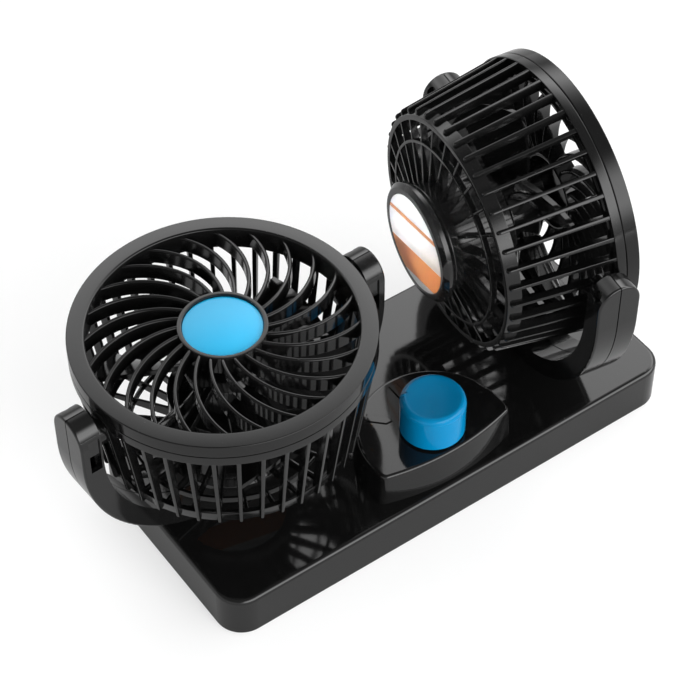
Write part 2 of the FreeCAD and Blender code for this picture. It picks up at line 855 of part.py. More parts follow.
def make_hub_cap():
    seat = hub_radius - hub_lip
    floor = head_depth - label_recess
    return revolved([
        (0, w(hub_front)),
        (cup_radius, w(hub_front)),
        (hub_radius, w(hub_front + hub_edge_radius)),
        (hub_radius, w(head_depth - hub_edge_radius)),
        (hub_radius - hub_edge_radius, w(head_depth)),
        (seat, w(head_depth)),
        (seat, w(floor)),
        (0, w(floor)),
    ])


def make_label():
    floor = head_depth - label_recess
    return disc(hub_radius - hub_lip - label_clearance, w(floor + label_thickness), w(floor))


def make_pivot_pins():
    inside = tilt_boss_end - pivot_engagement + press_fit
    flange_at = arm_inner + arm_wall + tilt_washer_gap
    pins = []
    for side in (-1, 1):
        shank = Part.makeCylinder(pivot_radius, flange_at - inside, vec(side * inside, 0, 0), X * side)
        flange = Part.makeCylinder(arm_cavity - pivot_flange_clearance, pivot_flange_thickness,
                                   vec(side * flange_at, 0, 0), X * side)
        pins.append(shank.fuse(flange))
    return Part.makeCompound(pins)


def make_tilt_washers():
    washers = []
    for side in (-1, 1):
        start = vec(side * (tilt_boss_end + tilt_washer_gap), 0, 0)
        ring = Part.makeCylinder(tilt_boss_radius, tilt_washer_thickness, start, X * side)
        hole = Part.makeCylinder(pivot_radius + running_fit, tilt_washer_thickness, start, X * side)
        washers.append(ring.cut(hole))
    return Part.makeCompound(washers)


# Rotor, drawn in the head's frame

def blade(tip_radius):
    middle = (rotor_front + rotor_rear) / 2
    root_radius = rotor_hub_radius - rotor_hub_wall / 2
    sections = []
    for radius, chord, pitch_deg, lag_deg, rake in (
        (root_radius, blade_root_chord, blade_root_pitch_deg, 0, 0),
        (tip_radius, blade_tip_chord, blade_tip_pitch_deg, blade_tip_lag_deg, blade_tip_rake),
    ):
        pitch = math.radians(pitch_deg)
        along = vec(0, math.cos(pitch), math.sin(pitch)) * (chord / 2)
        across = vec(0, -math.sin(pitch), math.cos(pitch)) * (blade_thickness / 2)
        centre = vec(radius, 0, w(middle + rake))
        corners = [centre + along + across, centre - along + across,
                   centre - along - across, centre + along - across]
        sections.append(turned(Part.makePolygon(corners + corners[:1]), -lag_deg))
    return Part.makeLoft(sections, True, True)


def make_rotor():
    tip_radius = slat_inner(rotor_rear) - rotor_clearance
    hub = disc(rotor_hub_radius, w(rotor_rear), w(rotor_front))
    hub = hub.makeFillet(rotor_hub_edge, edges_at(hub, w(rotor_front)))
    hub = hub.cut(disc(rotor_hub_radius - rotor_hub_wall, w(rotor_rear), w(rotor_front + rotor_hub_edge)))
    boss = disc(rotor_boss_radius, w(rotor_rear), w(rotor_front + rotor_hub_wall))
    blades = [b.common(disc(tip_radius, w(cage_depth), w(0)))
              for b in ring_of(blade(tip_radius), blade_count, blade_phase_deg)]
    rotor = hub.multiFuse([boss] + blades)
    return rotor.cut(disc(shaft_radius + press_fit, w(rotor_rear), w(rotor_front + rotor_hub_wall / 2)))


def make_motor_shaft():
    return disc(shaft_radius, w(motor_front + shaft_tail), w(rotor_front + rotor_hub_wall / 2))


# Assembly

def placed(shape, placement):
    copy = shape.copy()
    copy.Placement = placement.multiply(copy.Placement)
    return copy


def yoke_place(x, swivel_deg):
    return FreeCAD.Placement(vec(x, swivel_offset, 0), FreeCAD.Rotation(Z, swivel_deg))


def head_place(x, swivel_deg, tilt_deg):
    turn = FreeCAD.Rotation(Z, swivel_deg).multiply(FreeCAD.Rotation(X, 90.0 - tilt_deg))
    return FreeCAD.Placement(vec(x, swivel_offset, pivot_height), turn)


def make_all():
    nodes = {
        "base_top_shell": make_base_top_shell(),
        "control_pod": make_control_pod(),
        "pod_screws": make_pod_screws(),
        "base_bottom_cover": make_base_cover(),
        "base_screws": make_base_screws(),
        "adhesive_pad": pad_block(0),
        "cable_grommet": make_cable_grommet(),
        "switch_body": make_switch_body(),
        "switch_nut": make_switch_nut(),
        "switch_spindle": make_switch_spindle(),
        "speed_knob": make_speed_knob(),
    }
    halves = make_yoke_halves()
    yoke_parts = {
        "yoke_front_half": halves["front"],
        "yoke_rear_half": halves["rear"],
        "yoke_screws": make_yoke_screws(),
        "swivel_spindle": make_swivel_spindle(),
        "swivel_retainer": make_swivel_retainer(),
    }
    head_parts = {
        "front_grille": make_front_grille(),
        "front_badge": make_front_badge(),
        "rear_shell": make_rear_shell(),
        "motor": make_motor(),
        "motor_screws": make_motor_screws(),
        "hub_cap": make_hub_cap(),
        "hub_label": make_label(),
        "pivot_pins": make_pivot_pins(),
        "tilt_washers": make_tilt_washers(),
        "rotor": make_rotor(),
        "motor_shaft": make_motor_shaft(),
    }
    for side, x, swivel_deg, tilt_deg in (
        ("left", -swivel_half_spacing, left_swivel_deg, left_tilt_deg),
        ("right", swivel_half_spacing, right_swivel_deg, right_tilt_deg),
    ):
        for name, shape in yoke_parts.items():
            nodes[side + "_" + name] = placed(shape, yoke_place(x, swivel_deg))
        for name, shape in head_parts.items():
            nodes[side + "_" + name] = placed(shape, head_place(x, swivel_deg, tilt_deg))
    return nodes


os.makedirs("parts", exist_ok=True)
for node_name, node_shape in make_all().items():
    node_shape.exportStep("parts/" + node_name + ".step")
    print(node_name, len(node_shape.Solids), node_shape.isValid(), round(node_shape.Volume, 1))
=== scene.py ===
import json
import math

import bmesh
import bpy
from mathutils import Matrix, Vector


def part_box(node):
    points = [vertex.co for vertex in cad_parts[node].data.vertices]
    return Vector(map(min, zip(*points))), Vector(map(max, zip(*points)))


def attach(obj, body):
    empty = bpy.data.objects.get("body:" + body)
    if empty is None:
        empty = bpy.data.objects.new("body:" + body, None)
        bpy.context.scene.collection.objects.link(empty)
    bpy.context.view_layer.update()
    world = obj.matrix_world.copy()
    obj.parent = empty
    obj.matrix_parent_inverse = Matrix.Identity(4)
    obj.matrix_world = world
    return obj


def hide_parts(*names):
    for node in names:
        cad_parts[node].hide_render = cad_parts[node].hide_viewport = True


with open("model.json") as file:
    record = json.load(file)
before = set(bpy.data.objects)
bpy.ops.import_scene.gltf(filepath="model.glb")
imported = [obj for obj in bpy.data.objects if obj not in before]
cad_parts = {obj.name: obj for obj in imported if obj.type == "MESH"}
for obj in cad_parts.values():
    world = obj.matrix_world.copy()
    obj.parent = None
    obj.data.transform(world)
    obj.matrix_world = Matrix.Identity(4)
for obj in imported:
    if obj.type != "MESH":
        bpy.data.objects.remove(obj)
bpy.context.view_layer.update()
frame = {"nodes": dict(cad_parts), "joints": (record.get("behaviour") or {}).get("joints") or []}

# Twin-head dashboard fan. Sizes are in millimetres and angles in degrees. A head is drawn facing up Z, with
# its tilt pins on X and its pivot at the origin, and depths run back from its front face.
MM = 0.001
ROUND_STEPS = 144
SHARP_ANGLE = 35.0
EDGE_SEGMENTS = 2
FINE_SEGMENTS = 3
MERGE_DISTANCE = 0.0001

# Front ring, swirl vanes and middle disc. A vane runs through points of a radius and an angle
HEAD_RADIUS = 56.0
FACE_OFFSET = 16.4
RING_INNER = 50.2
RING_BEVEL = 0.9
RING_BEVEL_DEPTH = 0.4
RING_DEPTH = 5.85
RING_ROUND = 0.4
RING_SLOPE = 0.3
LIP_OUTER = 53.25
LIP_DEPTH = 8.9
SKIRT_OUTER = 51.4
SKIRT_DEPTH = 9.7
VANE_COUNT = 24
VANE_THICKNESS = 1.5
VANE_DEPTH = 7.2
VANE_RECESS = 0.3
VANE_DIP = 1.6
VANE_ROOT = 1.0
VANE_PATH = ((16.6, 0.0), (33.0, 14.6), (50.2, 33.5))
VANE_PHASE = -5.5
VANE_STEPS = 18
VANE_ROUND = 0.72
VANE_SEGMENTS = 5
HUB_RISE = 1.0
HUB_OUTER = 16.45
HUB_WALL = 1.8
HUB_DEPTH = 8.0
HUB_FLOOR = 1.2
HUB_ROUND = 0.35
BADGE_RADIUS = 14.6
BADGE_BACK = 1.2
BADGE_GAP = 0.15
BADGE_CROWN = 0.8
BADGE_RINGS = 6
BADGE_ROUND = 0.3

# Slatted rear shell
RIM_WALL = 2.6
RIM_FRONT = 6.05
RIM_REAR = 10.0
RIM_ROUND = 0.35
SLAT_COUNT = 40
SLAT_PHASE = {"left": 1.1, "right": 0.0}
SLAT_THICKNESS = 1.8
SLAT_THINNING = 0.3
SLAT_FRONT = 9.1
SLAT_REAR = 51.2
SLAT_OUTER_FRONT = 55.7
SLAT_OUTER_REAR = 49.4
SLAT_INNER_FRONT = 51.7
SLAT_INNER_REAR = 46.1
SLAT_NOSE = 1.2
SLAT_NOSE_SEGMENTS = 5
SLAT_ROUND = 0.4
BAND_FRONT = 46.4
BAND_FRONT_RADIUS = 48.6
BAND_REAR_RADIUS = 47.2
BAND_WALL = 2.2
BAND_ROUND = 0.35
CAGE_DEPTH = 52.0
RIB_COUNT = 28
RIB_PHASE = -1.3
RIB_THICKNESS = 1.1
RIB_DEPTH = 2.6
RIB_ROOT_DEPTH = 5.2
RIB_DISH = 4.6
RIB_OUTER = 46.1
RIB_INNER = 20.9
RIB_ROUND = 0.25
MIDDLE_RING_RADIUS = 37.2
MIDDLE_RING_WIDTH = 1.2
CUP_RADIUS = 22.05
CUP_BORE = 19.75
CUP_FRONT = 33.0
CUP_PLATE = 35.0
NOSE_HOLE = 4.15
CUP_ROUND = 0.5
BOSS_RADIUS = 5.8
BOSS_START = 51.0
BOSS_END = 57.96
BOSS_STEPS = 40
BOSS_ROUND = 0.5

# Hub cap and its label. The cap steps through points of a radius and a depth
CAP_FRONT = 59.7
CAP_REAR = 65.4
CAP_STEPS = ((24.3, 61.7), (24.3, 63.6), (22.7, 65.3), (21.6, 65.4))
CAP_ROUND = 0.3
LABEL_SEAT = 20.4
LABEL_FLOOR = 65.1
LABEL_RADIUS = 20.2
LABEL_THICKNESS = 0.3
LABEL_ROUND = 0.08
LABEL_LEAN = 0.25
LABEL_BANDS = ((-16.5, -4.5), (8.5, 10.5))
LABEL_SHADE = (-3.0, 1.0)

# Rotor
ROTOR_FRONT = 16.0
ROTOR_REAR = 30.5
ROTOR_HUB_RADIUS = 15.5
ROTOR_HUB_WALL = 2.0
ROTOR_HUB_ROUND = 3.0
ROTOR_HUB_EDGE = 0.8
ROTOR_HUB_STEPS = 72
ROTOR_TIP = 46.5
BLADE_COUNT = 6
BLADE_PHASE = 20.0
BLADE_THICKNESS = 2.0
BLADE_ROOT_CHORD = 15.0
BLADE_TIP_CHORD = 30.0
BLADE_TIP_RAKE = 5.5
BLADE_ROOT_PITCH = 44.0
BLADE_TIP_PITCH = 30.0
BLADE_CAMBER = 1.4
BLADE_SWEEP = -4.0
BLADE_STEPS = 10
BLADE_ROUND = 0.25

# Knob
KNOB_RADIUS = 12.75
KNOB_BOTTOM = 36.3
KNOB_TOP = 52.3
KNOB_RIM = 2.2
KNOB_RIM_STEPS = 8
KNOB_DISH = 0.6
KNOB_DISH_STEPS = 8
KNOB_CREASE = 0.12
KNOB_STEPS = 96
POINTER_ANGLE = 135.0
POINTER_LENGTH = 4.0
POINTER_DEPTH = 0.9

# Cable grommet in the rear wall
GROMMET_BORE = 2.5
GROMMET_WAIST = 4.0
GROMMET_FLANGE = 5.4
GROMMET_ROUND = 0.4
GROMMET_STEPS = 48

# Screws with a cross recess, each a head radius, a shank radius and a reach, and the foam pad
BASE_SCREW_X = 92.0
BASE_SCREW_Y = 34.5
BASE_SCREW_SEAT = 2.2
BASE_SCREW = (2.6, 1.4, 10.8)
YOKE_SCREW_X = 63.2
YOKE_SCREW_Z = 97.71
YOKE_SCREW_SEAT = 3.8
YOKE_SCREW = (1.9, 1.0, 7.6)
SCREW_HEAD_HEIGHT = 1.4
SCREW_ROUND = 0.3
SCREW_STEPS = 40
SCREW_FACE_FLATNESS = 0.99
CROSS_WIDTH = 0.5
CROSS_REACH = 0.55
CROSS_DEPTH = 0.7
PAD_CORNER = 6.0
PAD_CORNER_SEGMENTS = 8
PAD_ROUND = 0.35

# Camera, from the photograph's viewing angle
IMAGE_SIZE = 700
SENSOR_WIDTH = 36.0
CAMERA_AZIMUTH = -35.44
CAMERA_ELEVATION = 47.99
CAMERA_ROLL = -0.17
CAMERA_DISTANCE = 913.16
CAMERA_FOCAL_PIXELS = 2273.9
CAMERA_TARGET = (3.01, 29.31, 24.25)
CAMERA_NEAR = 10.0

# Studio: brightness of the panels and the floor, sizes and places in metres, lamps in watts
ROOM_FADE = (0.0, 0.6, 0.9, 0.2)
WINDOW_GLOW = 4.6
WINDOW_BACK = (0.15, 0.45)
WINDOW_FOOT = (0.3, 0.68)
WINDOW_TOP = (0.95, 0.62)
WINDOW_FADE = (-0.6, 0.4, 0.6, 1.0)
FRONT_GLOW = 4.2
FRONT_SIDE = (0.39, -0.92, 0.0)
FRONT_AHEAD = (0.45, 0.75)
FRONT_FOOT = (0.0, 0.35)
FRONT_TOP = (0.85, 0.55)
FLOOR_HALF_WIDTH = 6.0
FLOOR_DROP = 0.0002
FLOOR_GREY = 0.42
FLOOR_SEEN = 0.56
FLOOR_MIRRORED = 0.13
LAMP_AIM = (0.0, 0.0, 0.05)
LEFT_FILL = {"position": (-1.7, -0.6, 0.7), "size": 1.5, "power": 9.0}
FRONT_KEY = {"position": (0.15, -1.7, 0.2), "size": 0.8, "power": 42.0}
LABEL_FILL = {"position": (-0.63, -0.34, 0.62), "size": 0.06, "power": 0.02, "spread": 5.0}


# Shader nodes written as sums

class Value:
    """A shader socket that takes part in Python sums."""

    def __init__(self, tree, socket):
        self.tree = tree
        self.socket = socket

    def math(self, operation, first, second):
        return self.tree.node("ShaderNodeMath", {"operation": operation}, {0: first, 1: second})

    def __add__(self, other):
        return self.math("ADD", self, other)

    def __radd__(self, other):
        return self.math("ADD", other, self)

    def __sub__(self, other):
        return self.math("SUBTRACT", self, other)

    def __rsub__(self, other):
        return self.math("SUBTRACT", other, self)

    def __mul__(self, other):
        return self.math("MULTIPLY", self, other)

    def __rmul__(self, other):
        return self.math("MULTIPLY", other, self)

    def __gt__(self, other):
        return self.math("GREATER_THAN", self, other)

    def __lt__(self, other):
        return self.math("LESS_THAN", self, other)


class Tree:
    """A node tree whose nodes all come from one method."""

    def __init__(self, node_tree):
        self.nodes = node_tree.nodes
        self.links = node_tree.links

    def node(self, kind, settings=None, inputs=None, output=0):
        node = self.nodes.new(kind)
        for name, value in (settings or {}).items():
            setattr(node, name, value)
        self.feed(node, inputs or {})
        return Value(self, node.outputs[output])

    def feed(self, node, inputs):
        for name, value in inputs.items():
            if isinstance(value, Value):
                self.links.new(value.socket, node.inputs[name])
            else:
                node.inputs[name].default_value = value

    def place(self, centre=(0, 0, 0), scale=(1, 1, 1), turn=(0, 0, 0)):
        """Object coordinates about a centre, turned and stretched."""
        here = self.node("ShaderNodeTexCoord", output=3)
        offset = self.node("ShaderNodeVectorMath", {"operation": "SUBTRACT"}, {0: here, 1: centre})
        mapping = {"Vector": offset, "Rotation": turn, "Scale": scale}
        return self.node("ShaderNodeMapping", None, mapping)

    def noise(self, where, scale, detail=2.0, roughness=0.5):
        inputs = {"Vector": where, "Scale": scale, "Detail": detail, "Roughness": roughness}
        return self.node("ShaderNodeTexNoise", None, inputs)

    def spread(self, value, low, high, to_low=0.0, to_high=1.0):
        """A value taken smoothly from one range to another."""
        inputs = {"Value": value, "From Min": low, "From Max": high, "To Min": to_low, "To Max": to_high}
        return self.node("ShaderNodeMapRange", {"interpolation_type": "SMOOTHSTEP"}, inputs)

    def tint(self, share, first, second):
        """A colour between two, by a share."""
        return self.node("ShaderNodeMix", {"data_type": "RGBA"}, {0: share, 6: first, 7: second}, output=2)

    def bump(self, height, strength, distance):
        inputs = {"Height": height, "Strength": strength, "Distance": distance}
        return self.node("ShaderNodeBump", None, inputs)

    def along(self, vector, axis):
        """How far a vector reaches along an axis."""
        settings = {"operation": "DOT_PRODUCT"}
        return self.node("ShaderNodeVectorMath", settings, {0: vector, 1: axis}, output=1)

    def direct_view(self):
        """One for what the camera sees, also through clear pieces, and zero for other rays."""
        straight = self.node("ShaderNodeLightPath", output="Is Camera Ray")
        through = self.node("ShaderNodeLightPath", output="Is Transmission Ray")
        return self.node("ShaderNodeMath", {"operation": "MAXIMUM"}, {0: straight, 1: through})


def grey(level):
    return (level, level, level, 1.0)


def new_finish(name):
    """A new material, its tree and its shader."""
    material = bpy.data.materials.new(name)
    material.use_nodes = True
    tree = Tree(material.node_tree)
    return material, tree, material.node_tree.nodes["Principled BSDF"]


# Finishes, with the depths of their grain in metres

def moulded_black(name, level, gloss, gloss_spread, peel, specular=0.5):
    """Moulded black plastic: a faint mottle, uneven gloss, hairline scratches and a fine skin."""
    material, tree, shader = new_finish(name)
    here = tree.place()
    mottle = tree.noise(here, 45.0, 3.0)
    hairlines = tree.noise(tree.place(scale=(1.0, 14.0, 9.0), turn=(0.2, 0.4, 0.6)), 240.0, 2.0)
    scratch = tree.spread(hairlines, 0.66, 0.74)
    dust = tree.spread(tree.noise(here, 900.0, 2.0, 0.6), 0.72, 0.8)
    colour = tree.tint(mottle, grey(level * 0.8), grey(level * 1.25))
    tree.feed(shader, {
        "Base Color": tree.tint(dust * 0.5, colour, grey(0.05)),
        "Roughness": gloss + gloss_spread * mottle + 0.05 * scratch + 0.12 * dust,
        "Specular IOR Level": specular,
        "Normal": tree.bump(tree.noise(here, 520.0, 2.0), peel, 0.00006),
    })
    return material


def textured_black(name, level, grain_scale):
    """Spark-textured black plastic, dull with a fine grain."""
    material, tree, shader = new_finish(name)
    here = tree.place()
    grain = tree.noise(here, grain_scale, 3.0, 0.6)
    mottle = tree.noise(here, 60.0, 2.0)
    tree.feed(shader, {
        "Base Color": tree.tint(mottle, grey(level * 0.75), grey(level * 1.3)),
        "Roughness": 0.42 + 0.18 * grain,
        "Normal": tree.bump(grain, 0.25, 0.00012),
    })
    return material


def blue_gloss(name, deep, bright, gloss, specular):
    """Glossy coloured plastic with a slight swirl from moulding."""
    material, tree, shader = new_finish(name)
    here = tree.place()
    swirl = tree.noise(here, 70.0, 3.0, 0.55)
    skin = tree.noise(here, 650.0, 2.0)
    tree.feed(shader, {
        "Base Color": tree.tint(swirl, deep, bright),
        "Roughness": gloss + 0.1 * swirl,
        "Specular IOR Level": specular,
        "Normal": tree.bump(skin, 0.06, 0.00006),
    })
    return material


def printed_label(name, centre, across):
    """Silver-white label with plain orange bands, printed across one direction."""
    material, tree, shader = new_finish(name)
    offset = tree.place(centre)
    along = tree.along(offset, across)
    first_band, second_band = [(along > low * MM) * (along < high * MM) for low, high in LABEL_BANDS]
    sheen = tree.noise(tree.place(scale=(3.0, 3.0, 0.4)), 300.0, 2.0)
    shade = tree.spread(along, LABEL_SHADE[0] * MM, LABEL_SHADE[1] * MM)
    paper = tree.tint(shade, grey(0.78), grey(0.98))
    paper = tree.tint(sheen * 0.15, paper, grey(0.82))
    ink = tree.tint(sheen, (0.7, 0.22, 0.06, 1.0), (0.8, 0.28, 0.08, 1.0))
    tree.feed(shader, {
        "Base Color": tree.tint(first_band + second_band, paper, ink),
        "Roughness": 0.3 + 0.15 * sheen,
        "Normal": tree.bump(tree.noise(offset, 900.0, 2.0), 0.05, 0.00004),
    })
    return material


def plated_metal(name, level, brush_scale):
    """Plated steel with fine turned lines and faint stains."""
    material, tree, shader = new_finish(name)
    lines = tree.noise(tree.place(scale=(1.0, 1.0, 12.0)), brush_scale, 3.0)
    stain = tree.noise(tree.place(), 180.0, 3.0)
    tree.feed(shader, {
        "Base Color": tree.tint(stain, grey(level * 0.85), (level, level * 0.99, level * 0.95, 1.0)),
        "Metallic": 1.0,
        "Roughness": 0.24 + 0.16 * lines + 0.1 * stain,
        "Normal": tree.bump(lines, 0.08, 0.00005),
    })
    return material


def soft_rubber(name, level, cell_scale, depth):
    """Dull rubber or closed-cell foam with a fine open grain."""
    material, tree, shader = new_finish(name)
    here = tree.place()
    cells = tree.node("ShaderNodeTexVoronoi", None, {"Vector": here, "Scale": cell_scale})
    mottle = tree.noise(here, 90.0, 3.0)
    tree.feed(shader, {
        "Base Color": tree.tint(mottle, grey(level * 0.7), grey(level * 1.4)),
        "Roughness": 0.7 + 0.2 * cells,
        "Normal": tree.bump(cells, 0.35, depth),
    })
    return material


# Mesh helpers

def at(depth):
    """Height of a plane the given depth behind a head's front face."""
    return FACE_OFFSET - depth


def polar(radius, degrees):
    angle = math.radians(degrees)
    return Vector((radius * math.cos(angle), radius * math.sin(angle), 0))


def soften(mesh, width, segments=EDGE_SEGMENTS):
    """Round every sharp edge of a mesh."""
    sharp = [edge for edge in mesh.edges if edge.calc_face_angle(0.0) > math.radians(SHARP_ANGLE)]
    bmesh.ops.bevel(mesh, geom=sharp, offset=width, affect="EDGES", segments=segments,
                    profile=0.5, material=-1, clamp_overlap=True)
    return mesh


def turned(outline, steps=ROUND_STEPS):
    """Closed shape turned about Z. An outline that starts on the axis also ends there."""
    mesh = bmesh.new()
    corners = [mesh.verts.new((radius, 0, height)) for radius, height in outline]
    for first, second in zip(corners, corners[1:]):
        mesh.edges.new((first, second))
    if outline[0][0] > 0:
        mesh.edges.new((corners[-1], corners[0]))
    bmesh.ops.spin(mesh, geom=mesh.verts[:] + mesh.edges[:], cent=(0, 0, 0), axis=(0, 0, 1),
                   angle=math.tau, steps=steps, use_merge=True)
    bmesh.ops.remove_doubles(mesh, verts=mesh.verts, dist=MERGE_DISTANCE)
    bmesh.ops.recalc_face_normals(mesh, faces=mesh.faces)
    return mesh


def pushed(mesh, faces, shift):
    """Push some faces of a mesh along, with walls behind them."""
    grown = bmesh.ops.extrude_face_region(mesh, geom=faces)
    moved = [item for item in grown["geom"] if isinstance(item, bmesh.types.BMVert)]
    bmesh.ops.translate(mesh, vec=shift, verts=moved)
    return mesh


def plate(outline, thickness, round_corner=None, radius=0.0, segments=EDGE_SEGMENTS):
    """Radial plate on the XZ plane from (radius, height) points, with one corner rounded on request."""
    mesh = bmesh.new()
    corners = [mesh.verts.new((r, -thickness / 2, height)) for r, height in outline]
    mesh.faces.new(corners)
    if round_corner is not None:
        bmesh.ops.bevel(mesh, geom=[corners[round_corner]], offset=radius, affect="VERTICES",
                        segments=segments, profile=0.5, material=-1)
    pushed(mesh, mesh.faces[:], (0, thickness, 0))
    bmesh.ops.recalc_face_normals(mesh, faces=mesh.faces)
    return mesh


def placed(mesh, matrix):
    bmesh.ops.transform(mesh, matrix=matrix, verts=mesh.verts)
    return mesh


def turn(mesh, angle):
    return placed(mesh, Matrix.Rotation(angle, 4, "Z"))


def around(mesh, count):
    """Repeat a shape evenly about Z."""
    geometry = mesh.verts[:] + mesh.edges[:] + mesh.faces[:]
    bmesh.ops.spin(mesh, geom=geometry, cent=(0, 0, 0), axis=(0, 0, 1),
                   angle=math.tau * (count - 1) / count, steps=count - 1, use_duplicate=True)
    return mesh


def gathered(*meshes):
    """One mesh that holds all the given ones."""
    whole = bmesh.new()
    for mesh in meshes:
        part = bpy.data.meshes.new("part")
        mesh.to_mesh(part)
        mesh.free()
        whole.from_mesh(part)
        bpy.data.meshes.remove(part)
    return whole


def add_piece(name, mesh, place, finish, body, nodes):
    """Put a finished mesh in place, on its body, for the nodes that it stands for."""
    placed(mesh, place)
    bmesh.ops.recalc_face_normals(mesh, faces=mesh.faces)
    data = bpy.data.meshes.new(name)
    mesh.to_mesh(data)
    mesh.free()
    data.shade_smooth()
    data.set_sharp_from_angle(angle=math.radians(SHARP_ANGLE))
    data.materials.append(finish)
    piece = bpy.data.objects.new(name, data)
    bpy.context.scene.collection.objects.link(piece)
    even = piece.modifiers.new("even_faces", "WEIGHTED_NORMAL")
    even.keep_sharp = True
    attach(piece, body)
    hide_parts(*nodes)
    return piece


# Front grille

def front_ring():
    throat = RING_INNER - RING_BEVEL
    ring = turned([
        (throat, at(RING_BEVEL_DEPTH)), (RING_INNER, at(0)), (HEAD_RADIUS, at(RING_SLOPE)),
        (HEAD_RADIUS, at(RING_DEPTH)), (LIP_OUTER, at(RING_DEPTH)), (LIP_OUTER, at(LIP_DEPTH)),
        (SKIRT_OUTER, at(LIP_DEPTH)), (SKIRT_OUTER, at(SKIRT_DEPTH)), (throat, at(SKIRT_DEPTH)),
    ])
    return soften(ring, RING_ROUND, segments=FINE_SEGMENTS)


def swirl_vane():
    """One vane: a section swept along the arc through its root, middle and end."""
    root, middle, end = [polar(radius, degrees) for radius, degrees in VANE_PATH]
    first_side = middle - root
    second_side = end - root
    doubled = 2 * (first_side.x * second_side.y - first_side.y * second_side.x)
    centre = root + Vector((
        (second_side.y * first_side.length_squared - first_side.y * second_side.length_squared) / doubled,
        (first_side.x * second_side.length_squared - second_side.x * first_side.length_squared) / doubled,
        0,
    ))
    outward = root - centre
    overrun = VANE_ROOT / outward.length
    sweep = -outward.xy.angle_signed((end - centre).xy)
    direction = math.copysign(1.0, sweep)
    start = Matrix.Rotation(-direction * overrun, 3, "Z") @ outward.normalized()
    mesh = bmesh.new()
    section = []
    for side, depth in ((-1, VANE_RECESS), (1, VANE_RECESS), (1, VANE_DEPTH), (-1, VANE_DEPTH)):
        corner = centre + start * (outward.length + side * VANE_THICKNESS / 2)
        section.append(mesh.verts.new((corner.x, corner.y, at(depth))))
    mesh.faces.new(section)
    bmesh.ops.spin(mesh, geom=mesh.verts[:] + mesh.edges[:] + mesh.faces[:], cent=centre, axis=(0, 0, 1),
                   angle=sweep + 2 * direction * overrun, steps=VANE_STEPS)
    bmesh.ops.recalc_face_normals(mesh, faces=mesh.faces)
    soften(mesh, VANE_ROUND, segments=VANE_SEGMENTS)
    for vert in mesh.verts:
        share = (vert.co.xy.length - HUB_OUTER) / (RING_INNER - HUB_OUTER)
        vert.co.z += HUB_RISE * (1 - share) - VANE_DIP * share ** 2
    return turn(mesh, math.radians(VANE_PHASE))


def raised(mesh):
    """The middle stands a little proud of the ring."""
    bmesh.ops.translate(mesh, vec=(0, 0, HUB_RISE), verts=mesh.verts)
    return mesh


def grille_hub():
    seat = BADGE_RADIUS + BADGE_GAP
    inner = HUB_OUTER - HUB_WALL
    floor = BADGE_BACK + HUB_FLOOR
    hub = turned([
        (0, at(BADGE_BACK)), (seat, at(BADGE_BACK)), (seat, at(0)), (HUB_OUTER, at(0)),
        (HUB_OUTER, at(HUB_DEPTH)), (inner, at(HUB_DEPTH)), (inner, at(floor)), (0, at(floor)),
    ])
    return raised(soften(hub, HUB_ROUND))


def front_grille():
    return gathered(front_ring(), around(swirl_vane(), VANE_COUNT), grille_hub())


def front_badge():
    """Middle disc with a slight crown."""
    crown = []
    for step in range(BADGE_RINGS + 1):
        share = step / BADGE_RINGS
        crown.append((BADGE_RADIUS * share, at(BADGE_GAP + BADGE_CROWN * share ** 2)))
    disc = turned(crown + [(BADGE_RADIUS, at(BADGE_BACK)), (0, at(BADGE_BACK))])
    return raised(soften(disc, BADGE_ROUND, segments=FINE_SEGMENTS))


# Rear shell

def rear_rim():
    inner = HEAD_RADIUS - RIM_WALL
    return soften(turned([(inner, at(RIM_FRONT)), (HEAD_RADIUS, at(RIM_FRONT)), (HEAD_RADIUS, at(RIM_REAR)),
                          (inner, at(RIM_REAR))]), RIM_ROUND)


def side_slat():
    outline = [(SLAT_INNER_FRONT, at(SLAT_FRONT)), (SLAT_OUTER_FRONT, at(SLAT_FRONT)),
               (SLAT_OUTER_REAR, at(SLAT_REAR)), (SLAT_INNER_REAR, at(SLAT_REAR))]
    slat = plate(outline, SLAT_THICKNESS, round_corner=2, radius=SLAT_NOSE, segments=SLAT_NOSE_SEGMENTS)
    for vert in slat.verts:
        share = (at(SLAT_FRONT) - vert.co.z) / (SLAT_REAR - SLAT_FRONT)
        vert.co.y *= 1 - SLAT_THINNING * share
    return soften(slat, SLAT_ROUND)


def rear_band():
    return soften(turned([
        (BAND_FRONT_RADIUS - BAND_WALL, at(BAND_FRONT)), (BAND_FRONT_RADIUS, at(BAND_FRONT)),
        (BAND_REAR_RADIUS, at(CAGE_DEPTH)), (BAND_REAR_RADIUS - BAND_WALL, at(CAGE_DEPTH)),
    ]), BAND_ROUND)


def dish_depth(radius):
    """Depth of the ribs' rear edge, which dishes back towards the hub."""
    return CAGE_DEPTH + RIB_DISH * (RIB_OUTER - radius) / (RIB_OUTER - RIB_INNER)


def rear_rib():
    return soften(plate([
        (RIB_OUTER, at(CAGE_DEPTH - BAND_ROUND)), (RIB_INNER, at(dish_depth(RIB_INNER))),
        (RIB_INNER, at(dish_depth(RIB_INNER) - RIB_ROOT_DEPTH)), (RIB_OUTER, at(CAGE_DEPTH - RIB_DEPTH)),
    ], RIB_THICKNESS), RIB_ROUND)


def middle_ring():
    half = MIDDLE_RING_WIDTH / 2
    rear = dish_depth(MIDDLE_RING_RADIUS)
    inner = MIDDLE_RING_RADIUS - half
    outer = MIDDLE_RING_RADIUS + half
    return soften(turned([(inner, at(rear)), (outer, at(rear)), (outer, at(rear - RIB_DEPTH)),
                          (inner, at(rear - RIB_DEPTH))]), RIB_ROUND)


